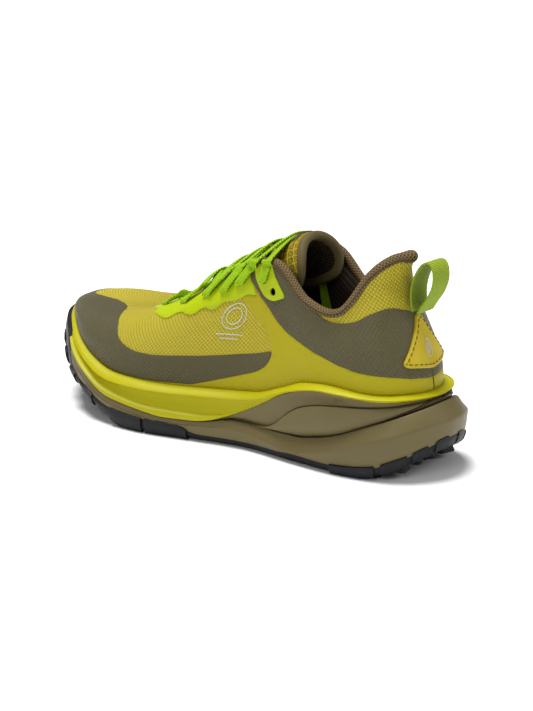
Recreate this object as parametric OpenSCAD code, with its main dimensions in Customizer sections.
// Left trail running shoe, millimetres.
// +X runs from heel to toe, +Y to the outer (lateral) side, +Z up. The origin is on
// the ground, under the middle of the sole.

/* [Size] */
// Overall length of the sole
shoe_length = 300; // [285:1:315]
// Width scale of the whole shoe, 1 is a regular fit
width_scale = 1; // [0.96:0.01:1.04]

/* [Sole] */
// Depth of the rubber lugs
lug_depth = 3.5; // [2.5:0.5:4]
// Height of the footbed pocket below the foam rim at the heel
pocket_heel = 8; // [6:0.5:9]
// Height of the footbed pocket below the foam rim at the forefoot
pocket_fore = 4; // [3:0.5:5]
// Thickness of the removable foam insole
insole_t = 4.5; // [3:0.5:5]

/* [Upper] */
// Thickness of the ripstop mesh with its backing
mesh_t = 1.6; // [1.2:0.1:2]
// Thickness of the welded film overlays
film_t = 0.5; // [0.4:0.1:0.6]
// Radius of the padded collar roll
collar_roll_r = 3; // [2.5:0.1:3.2]
// Diameter of the punched eyelet holes
eyelet_d = 4.6; // [4.4:0.1:5]
// Diameter that the flat lace takes up when it is rolled to a cord
lace_d = 2.8; // [2.4:0.1:3]

/* [Tongue and loop] */
// Thickness of the tongue's foam
tongue_foam_t = 4.5; // [3.5:0.5:5]
// Width of the pull loop's webbing
loop_w = 16; // [14:1:18]
// Thickness of the pull loop's webbing
loop_t = 1.2; // [1:0.1:1.5]

/* [Hidden] */

// gap between stacked sole and tongue layers
gap = 0.15;
// gap between the curved layers of the upper, more than the sagitta of their facets
skin_gap = 0.5;
// stations round the shoe
stations = 72;
// length that the outline and the height tables are drawn at
drawn_length = 300;
stretch = shoe_length / drawn_length;
yellow = "#c8c02a";
khaki = "#625a40";
lime = "#b9d800";
brown = "#5f4a32";
black = "#202226";

// ---- curves ----

function cr4(a, b, c, d, w) =
    0.5 * (2 * b + (c - a) * w + (2 * a - 5 * b + 4 * c - d) * w * w
    + (3 * b - a - 3 * c + d) * w * w * w);
// point of a closed curve through pts, t from 0 to 1
function loop_at(pts, t) =
    let (n = len(pts), s = (t - floor(t)) * n, i = floor(s) % n, w = s - floor(s))
    cr4(pts[(i + n - 1) % n], pts[i], pts[(i + 1) % n], pts[(i + 2) % n], w);
// point of an open curve through pts, s from 0 to 1
function path_at(pts, s) =
    let (n = len(pts), x = min(max(s, 0), 0.99999) * (n - 1), i = floor(x), w = x - i,
        a = i > 0 ? pts[i - 1] : 2 * pts[0] - pts[1],
        d = i < n - 2 ? pts[i + 2] : 2 * pts[n - 1] - pts[n - 2])
    cr4(a, pts[i], pts[i + 1], d, w);
function unit(v) = v / norm(v);
// distance in t from the heel seam, the same on both sides
function from_heel(t) = let (f = t - floor(t)) min(f, 1 - f);
function mirrored(pts) = [for (i = [len(pts) - 1:-1:0]) [1 - pts[i][0], pts[i][1]]];

// ---- sole outline, from the heel along the lateral side to the toe and back ----

outline = [
    [0, 1], [6, 21], [22, 37], [50, 44], [86, 43], [121, 41], [157, 48], [192, 55],
    [225, 53], [254, 41.5], [277, 23.5], [293, 5], [299, -13], [296, -30], [282, -44],
    [258, -52], [228, -55], [192, -53], [157, -46], [121, -40], [86, -38], [50, -37],
    [22, -34], [6, -20]
];
// ground side of the rubber, toe spring and heel bevel
ground_z = [[0, 17], [8, 12], [20, 5], [40, 0], [200, 0], [218, 5], [240, 13], [262, 20],
    [285, 26], [300, 35]];
// top edge of the rubber
rubber_z = [[0, 25], [8, 19], [18, 12], [32, 7.5], [45, 6.5], [200, 7], [218, 11], [240, 19],
    [262, 26], [285, 32], [300, 41]];
// top of the lower foam
base_z = [[0, 44], [4, 43], [11, 40], [22, 35], [37, 29], [53, 22], [68, 18], [83, 15.5],
    [134, 15.5], [152, 12.5], [173, 12.5], [186, 14], [202, 17], [215, 20], [235, 30],
    [247, 36], [262, 41], [280, 46], [300, 50]];
// top of the heel cradle, which thins out at the midfoot
cradle_z = [[0, 44.6], [11, 43], [28, 44], [43, 45], [61, 45.5], [78, 43], [94, 38], [102, 32],
    [113, 26], [126, 20], [134, 16], [152, 13], [173, 13], [186, 14.5], [202, 17.5],
    [215, 20.5], [235, 30.5], [247, 36.5], [262, 41.5], [280, 46.5], [300, 50.5]];
// top of the yellow rim
rim_z = [[0, 47], [30, 47], [60, 49], [80, 47], [96, 41], [117, 34], [141, 32], [177, 30.5],
    [212, 31.5], [237, 37], [258, 44], [280, 51], [300, 55]];
// how far the upper's bottom edge lies inside the outline
feather_inset = [[0, 15], [0.06, 13.5], [0.12, 9], [0.4, 8], [0.5, 7]];
// thickness of the padding inside the upper
padding = [[0, 11], [0.15, 10], [0.22, 4], [0.5, 3.5]];

function plan(t) = loop_at(outline, t);
function plan_normal(t) = let (d = plan(t + 0.001) - plan(t - 0.001)) unit([-d[1], d[0]]);
function plan_offset(t, off) = plan(t) + off * plan_normal(t);
function pocket_offset(t) =
    -lookup(from_heel(t), feather_inset) - lookup(from_heel(t), padding);
function footbed_z(x) = lookup(x, rim_z) - lookup(x, [[0, pocket_heel], [90, pocket_heel],
    [150, pocket_fore], [300, pocket_fore]]);
// floors of the recesses below the foot, in the lower foam and in the heel cradle
function base_floor_z(x) =
    min(lookup(x, base_z), footbed_z(x) - lookup(x, [[60, 6], [120, 3.5]]));
function cradle_floor_z(x) = min(lookup(x, cradle_z), footbed_z(x) - 3);
// puts a drawn point into the shoe's own frame
function placed(p) = [(p[0] - drawn_length / 2) * stretch, p[1] * width_scale, p[2]];

// ---- solids ----

function ring_t(limit) = limit >= 0.5
    ? [for (i = [0:stations - 1]) i / stations]
    : let (m = floor(limit * stations))
        concat([for (i = [0:m]) i / stations], [for (i = [-m:-1]) 1 + i / stations]);

function quad(a, b, c, d) = [[a, b, c], [a, c, d]];
// closed skin over stacked rings of n points, capped by rungs from side to side
function stack_faces(k, n) = concat(
    [for (j = [0:k - 2]) for (i = [0:n - 1]) for (f = quad(j * n + i, j * n + (i + 1) % n,
        (j + 1) * n + (i + 1) % n, (j + 1) * n + i)) f],
    [for (top = [0, 1]) let (o = top * (k - 1) * n) for (f = concat(
        [[o, o + 1, o + n - 1]],
        [for (i = [1:floor((n - 1) / 2) - 1]) for (g = quad(o + i, o + i + 1,
            o + n - i - 1, o + n - i)) g],
        n % 2 == 0 ? [[o + n / 2 - 1, o + n / 2, o + n / 2 + 1]] : []))
        top == 1 ? f : [f[0], f[2], f[1]]]);

// A sole layer: levels holds [offset from the outline, height] pairs from the bottom up.
// An offset is a number or ["pocket", amount]; a height is a table or the name of one,
// and an amount added.
function level_offset(o, t) = o == "pocket" ? pocket_offset(t) : o;
function level_z(table, x) = table == "footbed" ? footbed_z(x)
    : table == "base_floor" ? base_floor_z(x)
    : table == "cradle_floor" ? cradle_floor_z(x) : lookup(x, table);
function level_ring(level, ts) = [for (t = ts)
    let (shift = is_list(level[0]) ? level[0] : [level[0], 0],
        p = plan_offset(t, level_offset(shift[0], t) + shift[1]))
    placed([p[0], p[1], level_z(level[1], p[0]) + level[2]])];
module sole_layer(levels, limit = 0.5) {
    ts = ring_t(limit);
    polyhedron([for (l = levels) each level_ring(l, ts)], stack_faces(len(levels), len(ts)));
}

// ---- upper surface: v runs from the bottom edge (0) to the throat and collar (1) ----

opening = [
    [31, 0, 121], [36, 11, 120.5], [45, 21, 112], [60, 29.5, 90.5], [82, 31, 94],
    [104, 29, 112], [135, 22, 103.5], [162, 18, 86], [184, 14, 74.5], [200, 10, 68],
    [207, 6, 65.5], [210, 2.5, 64.5], [211, -1, 64.2], [210, -4.5, 64.5], [207, -8, 65.5],
    [200, -12, 68], [184, -15, 74.5], [162, -18, 86], [135, -22, 103.5], [104, -28, 112],
    [82, -29, 93], [60, -27, 89], [46, -18, 110], [37, -9, 119.5]
];
// shape of each rib from the bottom edge to the opening
bulge_low = [[0, 1], [0.08, 3], [0.16, 2], [0.25, 2], [0.36, 4], [0.5, 3]];
rise_low = [[0, 16], [0.08, 21], [0.16, 24], [0.25, 30], [0.36, 16.5],
    [0.45, 9.5], [0.5, 7.5]];
reach_high = [[0, -0.6], [0.06, -0.1], [0.12, 0.3], [0.2, 0.5], [0.25, 0.6], [0.36, 0.62],
    [0.45, 0.5], [0.5, 0.42]];
drop_high = [[0, -22], [0.08, -22], [0.12, -16], [0.2, -20], [0.25, -18], [0.33, -7],
    [0.4, -5], [0.5, -4]];

function feather(t) =
    let (p = plan_offset(t, -lookup(from_heel(t), feather_inset)))
    [p[0], p[1], lookup(p[0], rim_z) + gap];
function skin(t, v) =
    let (h = from_heel(t), b = feather(t), o = loop_at(opening, t), n = plan_normal(t),
        low = b + [n[0] * lookup(h, bulge_low), n[1] * lookup(h, bulge_low),
            lookup(h, rise_low)],
        r = lookup(h, reach_high),
        high = [o[0] + (b[0] - o[0]) * r, o[1] + (b[1] - o[1]) * r,
            o[2] + lookup(h, drop_high)],
        u = 1 - v)
    b * u * u * u + low * 3 * v * u * u + high * 3 * v * v * u + o * v * v * v;
function skin_normal(t, v) =
    unit(cross(skin(t, min(v + 0.01, 1)) - skin(t, max(v - 0.01, 0)),
        skin(t + 0.003, v) - skin(t - 0.003, v)));
function off_skin(t, v, d) = placed(skin(t, v) + d * skin_normal(t, v));

// A thin shell between two skin offsets, over the strip ruled between two boundary
// curves given as [t, v] points. A closed strip runs once round the shoe.
function strip_points(low, high, across, d) =
    [for (i = [0:len(low) - 1]) for (j = [0:across])
        let (p = low[i] + (high[i] - low[i]) * j / across) off_skin(p[0], p[1], d)];
function strip_faces(n, across, closed) =
    let (m = across + 1, shift = n * m, last = closed ? n - 1 : n - 2)
    concat(
        [for (i = [0:last]) for (j = [0:across - 1]) let (k = ((i + 1) % n) * m) each concat(
            quad(i * m + j, k + j, k + j + 1, i * m + j + 1),
            quad(shift + i * m + j, shift + i * m + j + 1, shift + k + j + 1, shift + k + j))],
        [for (i = [0:last]) let (k = ((i + 1) % n) * m) each concat(
            quad(i * m, shift + i * m, shift + k, k),
            quad(k + across, shift + k + across, shift + i * m + across, i * m + across))],
        closed ? [] : [for (j = [0:across - 1]) let (e = (n - 1) * m) each concat(
            quad(j, j + 1, shift + j + 1, shift + j),
            quad(e + j + 1, e + j, shift + e + j, shift + e + j + 1))]);
// each boundary segment is divided into parts, so that no facet is long
function finer(pts, parts, closed) = concat(
    [for (i = [0:len(pts) - (closed ? 1 : 2)]) let (next = pts[(i + 1) % len(pts)])
        for (k = [0:parts - 1]) pts[i] + (next - pts[i]) * k / parts],
    closed ? [] : [pts[len(pts) - 1]]);
// the boundaries run from the heel along the lateral side, or are turned to
function ahead(pts, low) = low[0][0] < low[1][0] ? pts : [for (i = [len(pts) - 1:-1:0]) pts[i]];
module strip(low, high, inner, outer, across = 6, parts = 2, closed = false) {
    a = finer(ahead(low, low), parts, closed);
    b = finer(ahead(high, low), parts, closed);
    polyhedron(concat(strip_points(a, b, across, outer), strip_points(a, b, across, inner)),
        strip_faces(len(a), across, closed));
}
// boundary of constant v over a range of t
function level_line(v, from, to, n) = [for (i = [0:n]) [from + (to - from) * i / n, v]];

// ---- tubes ----

// ring frames carried along a path without twist
function carry(r, a) = unit(r - (r * a) * a);
function frames(path) = let (n = len(path),
        tan = [for (i = [0:n - 1]) unit(path[min(i + 1, n - 1)] - path[max(i - 1, 0)])],
        start = abs(tan[0][2]) > 0.9 ? [1, 0, 0] : [0, 0, 1])
    [for (i = 0, r = carry(start, tan[0]); i < n; i = i + 1,
        r = i < n ? carry(r, tan[i]) : r) [tan[i], r]];
module tube(path, radius, sides = 8) {
    fr = frames(path);
    n = len(path);
    points = [for (i = [0:n - 1]) for (k = [0:sides - 1])
        let (a = 360 * k / sides, r = fr[i][1], s = cross(fr[i][0], r))
        path[i] + radius * (cos(a) * r + sin(a) * s)];
    faces = concat(
        [for (i = [0:n - 2]) for (k = [0:sides - 1]) let (l = (k + 1) % sides) each
            quad(i * sides + k, (i + 1) * sides + k, (i + 1) * sides + l, i * sides + l)],
        [[for (k = [0:sides - 1]) k]],
        [[for (k = [sides - 1:-1:0]) (n - 1) * sides + k]]);
    polyhedron(points, faces);
}
function smooth_path(pts, n) = [for (i = [0:n]) path_at(pts, i / n)];

// ---- eyelets ----

// eyelet centres on the skin, from the toe up; the last one is the empty heel-lock hole
eyelets = [[0.324, 0.83], [0.288, 0.77], [0.262, 0.75], [0.245, 0.75], [0.233, 0.79],
    [0.212, 0.82], [0.201, 0.77]];
function eyelet(i, side) = side > 0 ? eyelets[i] : [1 - eyelets[i][0], eyelets[i][1]];
function over_eyelet(i, side, d) = let (e = eyelet(i, side)) off_skin(e[0], e[1], d);
module eyelet_cuts(side) {
    for (i = [0:len(eyelets) - 1]) {
        a = over_eyelet(i, side, -6);
        b = over_eyelet(i, side, 6);
        v = unit(b - a);
        translate(a) rotate([0, acos(v[2]), atan2(v[1], v[0])])
            cylinder(h = norm(b - a), d = eyelet_d, $fn = 24);
    }
}

// ---- sole parts ----

// one lug: a block of rubber with a chamfered front and rear
module lug(x, y, long, wide, base, turn = 0) {
    translate([x, y, base]) rotate(turn)
        linear_extrude(height = lug_depth + 0.8)
            polygon([[-long / 2, -wide / 2 + 1.5], [-long / 2 + 1.5, -wide / 2],
                [long / 2 - 1.5, -wide / 2], [long / 2, -wide / 2 + 1.5],
                [long / 2, wide / 2 - 1.5], [long / 2 - 1.5, wide / 2],
                [-long / 2 + 1.5, wide / 2], [-long / 2, wide / 2 - 1.5]]);
}
module outsole() color(black) {
    sole_layer([
        [-9, ground_z, lug_depth], [-6, ground_z, lug_depth], [-3, ground_z, lug_depth + 1],
        [-2.5, rubber_z, 0]
    ]);
    // heel lugs in four rows, then the forefoot lugs behind the toe spring
    for (x = [48:17:99]) for (s = [-1, 1]) {
        lug((x - 150) * stretch, (s * 24 + 2) * width_scale, 11, 12, 0, s * 12);
        lug((x - 142) * stretch, (s * 9 + 2) * width_scale, 11, 10, 0, s * -12);
    }
    for (x = [152:17:203]) for (s = [-1, 1]) {
        lug((x - 150) * stretch, s * (20 + x / 12) * width_scale, 11, 13, 0, s * -12);
        lug((x - 158) * stretch, s * 12 * width_scale, 11, 12, 0, s * 12);
    }
}
module midsole_base() color(khaki) sole_layer([
    [-3, rubber_z, gap], [-0.5, rubber_z, 4], [-1.5, base_z, 0],
    [["pocket", 2], base_z, 0], [["pocket", 1], "base_floor", 0]]);
module heel_cradle() color(khaki) sole_layer([
    [["pocket", 0.5], "base_floor", gap], [["pocket", 1.5], base_z, gap],
    [-2, base_z, gap], [-3, cradle_z, 0], [["pocket", 2], cradle_z, 0],
    [["pocket", 1], "cradle_floor", 0]], 0.223);
module midsole_foam() color(yellow) sole_layer([
    [["pocket", 0.5], "cradle_floor", gap], [["pocket", 1.5], cradle_z, gap],
    [-3, cradle_z, gap], [-4.5, rim_z, -2], [-6, rim_z, 0],
    [["pocket", 0], rim_z, 0], [["pocket", -1], "footbed", 0]]);
module strobel_board() color("gainsboro") sole_layer([
    [["pocket", -1.8], "footbed", gap], [["pocket", -1.8], "footbed", gap + 1.2]]);
module insole() color("dimgray") sole_layer([
    [["pocket", -2], "footbed", 1.5 + gap], [["pocket", -2], "footbed", 1.5 + insole_t]]);
module insole_cover() color("#3a3c3e") sole_layer([
    [["pocket", -2], "footbed", 1.5 + insole_t + gap],
    [["pocket", -3], "footbed", 2.3 + insole_t + gap]]);

// ---- upper parts ----

// top edge of the mesh: below the collar roll, then out to the throat edge
function mesh_top(t) = lookup(from_heel(t),
    [[0, 0.9], [0.17, 0.88], [0.21, 0.9], [0.25, 0.97], [0.5, 0.97]]);
module upper_mesh() color(yellow) difference() {
    strip([for (i = [0:stations - 1]) [i / stations, 0]],
        [for (i = [0:stations - 1]) [i / stations, mesh_top(i / stations)]],
        -mesh_t, 0, 8, 1, true);
    eyelet_cuts(1);
    eyelet_cuts(-1);
}
module toe_puff() color("silver") strip(level_line(0.03, 0.4, 0.6, 14),
    level_line(0.5, 0.4, 0.6, 14), -mesh_t - skin_gap - 0.8, -mesh_t - skin_gap, 4, 1);

toe_low = [[0.19, 0.27], [0.194, 0.2], [0.205, 0.14], [0.225, 0.08], [0.245, 0.01],
    [0.28, 0.01], [0.31, 0.01], [0.34, 0.01], [0.37, 0.01], [0.4, 0.01], [0.43, 0.01],
    [0.47, 0.01]];
toe_high = [[0.191, 0.33], [0.2, 0.29], [0.215, 0.255], [0.23, 0.235], [0.25, 0.22],
    [0.275, 0.21], [0.3, 0.225], [0.322, 0.33], [0.341, 0.49], [0.365, 0.62], [0.41, 0.72],
    [0.462, 0.6]];
toe_high_medial = [[0.191, 0.33], [0.2, 0.29], [0.215, 0.255], [0.23, 0.235], [0.25, 0.22],
    [0.275, 0.21], [0.3, 0.205], [0.322, 0.2], [0.341, 0.2], [0.365, 0.2], [0.4, 0.2],
    [0.45, 0.21]];
module toe_cap() color(khaki) strip(
    concat(toe_low, [[0.5, 0.01]], mirrored(toe_low)),
    concat(toe_high, [[0.5, 0.29]], mirrored(toe_high_medial)), skin_gap,
    skin_gap + film_t, 6);

film_low = [[0.224, 0.68], [0.211, 0.56], [0.202, 0.49], [0.193, 0.41], [0.188, 0.33],
    [0.186, 0.25], [0.19, 0.14], [0.215, 0.01], [0.18, 0.01], [0.15, 0.01], [0.1, 0.01],
    [0.05, 0.01]];
film_high = [[0.214, 0.685], [0.205, 0.65], [0.198, 0.61], [0.19, 0.57], [0.183, 0.54],
    [0.177, 0.5], [0.172, 0.47], [0.165, 0.43], [0.15, 0.32], [0.133, 0.23], [0.1, 0.18],
    [0.05, 0.14]];
// the seam point of a strip that wraps round the heel joins t = 0 and t = 1
function past_heel(pts) = [for (p = mirrored(pts)) [p[0] - 1, p[1]]];
module foxing_film() color("#b4a800") strip(
    concat(film_low, [[0, 0.01]], past_heel(film_low)),
    concat(film_high, [[0, 0.13]], past_heel(film_high)), skin_gap, skin_gap + film_t, 5, 3);

quarter_low = [[0.235, 0.9], [0.228, 0.83], [0.219, 0.75], [0.211, 0.7], [0.192, 0.6],
    [0.171, 0.5], [0.15, 0.34], [0.133, 0.25], [0.113, 0.2], [0.088, 0.19], [0.068, 0.17],
    [0.049, 0.155], [0.034, 0.15], [0.018, 0.147], [0.004, 0.145]];
quarter_high = [[0.214, 0.88], [0.205, 0.88], [0.197, 0.88], [0.188, 0.87], [0.18, 0.86],
    [0.17, 0.86], [0.161, 0.86], [0.142, 0.86], [0.125, 0.83], [0.106, 0.74],
    [0.088, 0.7], [0.068, 0.67], [0.045, 0.64], [0.022, 0.62], [0.004, 0.6]];
module quarter(side) color(khaki) difference() {
    if (side > 0) strip(quarter_low, quarter_high, skin_gap, skin_gap + film_t, 8);
    else strip(mirrored(quarter_low), mirrored(quarter_high), skin_gap,
        skin_gap + film_t, 8);
    eyelet_cuts(side);
}
module quarter_lateral() quarter(1);
module quarter_medial() quarter(-1);

// scalloped edge below the eyelets
stay_low = [[0.37, 0.87], [0.35, 0.85], [0.324, 0.74], [0.3, 0.62], [0.29, 0.58], [0.28, 0.62],
    [0.27, 0.58], [0.264, 0.56], [0.257, 0.61], [0.25, 0.59], [0.245, 0.59], [0.24, 0.65],
    [0.232, 0.64], [0.226, 0.7]];
stay_high = [for (i = [0:13]) [0.39 - 0.15 * i / 13, i < 12 ? 0.97 : 0.955]];
module eyestay(side) color(lime) difference() {
    if (side > 0) strip(stay_low, stay_high, skin_gap, skin_gap + film_t, 5);
    else strip(mirrored(stay_low), mirrored(stay_high), skin_gap,
        skin_gap + film_t, 5);
    eyelet_cuts(side);
}
module eyestay_lateral() eyestay(1);
module eyestay_medial() eyestay(-1);

tab_low = [[0.225, 0.9], [0.219, 0.82], [0.212, 0.75], [0.204, 0.7]];
tab_high = [[0.213, 0.9], [0.202, 0.86], [0.194, 0.82], [0.191, 0.78]];
module eyelet_tab(side) color(lime) difference() {
    inner = 2 * skin_gap + film_t;
    if (side > 0) strip(tab_low, tab_high, inner, inner + film_t, 3);
    else strip(mirrored(tab_low), mirrored(tab_high), inner, inner + film_t, 3);
    eyelet_cuts(side);
}
module eyelet_tab_lateral() eyelet_tab(1);
module eyelet_tab_medial() eyelet_tab(-1);

// ---- heel and collar ----

inside = -mesh_t - skin_gap;
module heel_counter() color("whitesmoke") strip(level_line(0.03, -0.11, 0.11, 18),
    level_line(0.55, -0.11, 0.11, 18), inside - 1.2, inside, 4, 1);
module collar_foam() color("lightyellow") strip(level_line(0.6, -0.17, 0.17, 26),
    level_line(0.86, -0.17, 0.17, 26), inside - 4, inside, 4, 1);
module collar_lining() color(brown) strip(level_line(0.03, -0.18, 0.18, 28),
    level_line(0.88, -0.18, 0.18, 28), inside - 5.2, inside - 4 - skin_gap, 6, 1);
module collar_binding() color(brown) tube(
    [for (i = [-36:36]) let (t = i * 0.228 / 36) off_skin(t, 0.985, -1.5)], collar_roll_r);

// triangular leather patch over the foot of the pull loop
patch_low = [[0.05, 0.29], [0.04, 0.28], [0.03, 0.27], [0.015, 0.265]];
patch_high = [[0.048, 0.33], [0.034, 0.42], [0.02, 0.5], [0.008, 0.57]];
module heel_patch() color("#c8ae34") strip(
    concat(patch_low, [[0, 0.26]], past_heel(patch_low)),
    concat(patch_high, [[0, 0.6]], past_heel(patch_high)), 2 * skin_gap + film_t,
    2 * skin_gap + film_t + 1.2, 4);

// pull loop: webbing that runs up the heel, folds over and comes back to the patch
loop_path = [[25.8, 91.5], [26.8, 97.5], [26.8, 103.5], [25.4, 109.5], [22.8, 115],
    [19.2, 119.3], [15, 119.6], [12.6, 115.5], [12.6, 108.5], [15.4, 101.5],
    [19.2, 96], [22.4, 91]];
module pull_loop() color("#9bbe3c") {
    n = 40;
    mid = [for (p = smooth_path(loop_path, n)) [(p[0] - drawn_length / 2) * stretch, p[1]]];
    edge = [for (s = [0.5, -0.5]) [for (i = [0:n])
        let (d = unit(mid[min(i + 1, n)] - mid[max(i - 1, 0)])) mid[i]
            + s * loop_t * [-d[1], d[0]]]];
    rotate([90, 0, 0]) linear_extrude(height = loop_w, center = true)
        polygon(concat(edge[0], [for (i = [n:-1:0]) edge[1][i]]));
}

// ---- tongue ----

// centre line of the tongue's outer face, from its root to its top
tongue_line = [[205, -1, 60], [197, -1, 71], [178, -1, 84], [160, -0.5, 95], [140, 0, 105.5],
    [120, 0, 115], [100, 0, 124]];
tongue_half = [[0, 14], [0.17, 17], [0.33, 22], [0.5, 28], [0.67, 34], [0.83, 40],
    [0.9, 40], [0.96, 37], [1, 30]];
tongue_radius = [[0, 9], [0.17, 10.5], [0.33, 12.6], [0.5, 15.1], [0.67, 18], [0.83, 19.5],
    [1, 20]];
// height of the tongue's crest at a place along the shoe
function tongue_top(x) = lookup(x + drawn_length / 2, [for (q = tongue_line) [q[0], q[2]]]);
function tongue_point(s, w, depth) =
    let (c = path_at(tongue_line, s),
        e = min(s, 0.97),
        d = unit(path_at(tongue_line, e + 0.02) - path_at(tongue_line, e - 0.02)),
        n = unit([d[2], 0, -d[0]]), r = lookup(s, tongue_radius),
        a = w * lookup(s, tongue_half) / r * 180 / PI)
    placed(c + [0, sin(a), 0] * (r - depth) + n * ((r - depth) * cos(a) - r));
function tongue_sheet(depth, s0, s1, w, along, across) =
    [for (i = [0:along]) for (j = [0:across])
        tongue_point(s0 + (s1 - s0) * i / along, w * (1 - 2 * j / across), depth)];
module tongue_layer(top, bottom, s0 = 0, s1 = 0.95, w = 0.92, along = 12, across = 10) {
    polyhedron(concat(tongue_sheet(bottom, s0, s1, w, along, across),
        tongue_sheet(top, s0, s1, w, along, across)), strip_faces(along + 1, across, false));
}
cover_t = 1;
module tongue_cover() color(yellow) tongue_layer(0, cover_t);
module tongue_foam() color("lightyellow")
    tongue_layer(cover_t + gap, cover_t + gap + tongue_foam_t);
module tongue_lining() color(brown) tongue_layer(cover_t + 2 * gap + tongue_foam_t,
    2 * cover_t + 2 * gap + tongue_foam_t);
module tongue_strip() color(khaki) tongue_layer(-gap - 0.6, -gap, 0.84, 0.93, 0.24, 3, 4);
module tongue_binding() color(khaki) tube(
    let (deep = (2 * cover_t + tongue_foam_t) / 2, side = 1.13)
    concat([for (i = [1:14]) tongue_point(i / 15, side, deep)],
        [for (j = [1:-0.25:-1]) tongue_point(1.02, j, deep)],
        [for (i = [14:-1:1]) tongue_point(i / 15, -side, deep)]), 2, 8);

// ---- laces ----

// height of the lace over the skin and its depth below it
lace_over = 3.2;
lace_under = -5.5;
function throat_edge(i, side, lift) = let (e = eyelet(i, side), p = off_skin(e[0], 1, 0))
    p + [0, 0, lift];
// a strand that comes up through hole i, crosses, and goes under the edge to hole i + 1
function strand(i, side) = let (a = throat_edge(i, side, 3.5), j = i + 1,
        b = throat_edge(j, -side, i < 4 ? -5 : 4),
        c = (a + b) / 2, m = [c[0], c[1], tongue_top(c[0]) + (side > 0 ? 8 : 5.2)])
    concat([over_eyelet(i, side, lace_under), over_eyelet(i, side, -0.8),
        over_eyelet(i, side, lace_over)], [a, m, b],
        i < 4 ? [] : [over_eyelet(j, -side, lace_over), over_eyelet(j, -side, -0.8),
            over_eyelet(j, -side, lace_under)]);
function lace_side(side) = [for (i = [0:4]) each strand(i, i % 2 == 0 ? side : -side)];
bar = placed([200, -1, 72]);
lace_route = let (l = lace_side(1), m = lace_side(-1), n = len(m))
    concat([for (i = [n - 1:-1:0]) m[i]], [bar], l);
module lace() color("#8cd728") tube(smooth_path(lace_route, 170), lace_d / 2, 6);

// free ends: down beside the tongue and forward along the insole, lateral side
free_end = [[-39, 25.2, 93], [-40, 25.2, 86], [-42, 25, 76], [-44.5, 24, 65],
    [-47, 22.5, 54], [-48, 20.5, 46], [-44, 18.5, 41], [-36, 17, 38.6], [-26, 16, 37],
    [-14, 15.5, 36.4], [0, 15, 36.4], [15, 14, 36], [30, 13.5, 35.4], [45, 13, 36],
    [56, 12.5, 37.4], [64, 12.2, 39], [70, 12, 40.6]];
aglet_l = 22;
function end_route(side) = concat(
    [over_eyelet(5, side, lace_under - 0.3), over_eyelet(5, side, lace_under - 2)],
    [for (p = free_end) [p[0], side * p[1], p[2]]]);
module lace_end(side) color("#8cd728")
    tube(smooth_path(end_route(side), 40), lace_d / 2, 8);
module lace_end_lateral() lace_end(1);
module lace_end_medial() lace_end(-1);
module aglet(side) color("#7cc41e") {
    r = end_route(side);
    tip = r[len(r) - 1];
    d = unit(tip - r[len(r) - 2]);
    translate(tip + 0.1 * d) rotate([0, acos(d[2]), atan2(d[1], d[0])])
        cylinder(h = aglet_l, d = lace_d, $fn = 24);
}
module aglet_lateral() aglet(1);
module aglet_medial() aglet(-1);

outsole();
midsole_base();
heel_cradle();
midsole_foam();
strobel_board();
insole();
insole_cover();
upper_mesh();
toe_puff();
toe_cap();
foxing_film();
quarter_lateral();
quarter_medial();
eyestay_lateral();
eyestay_medial();
eyelet_tab_lateral();
eyelet_tab_medial();
heel_counter();
collar_foam();
collar_lining();
collar_binding();
heel_patch();
pull_loop();
tongue_cover();
tongue_foam();
tongue_lining();
tongue_binding();
tongue_strip();
lace();
lace_end_lateral();
lace_end_medial();
aglet_lateral();
aglet_medial();
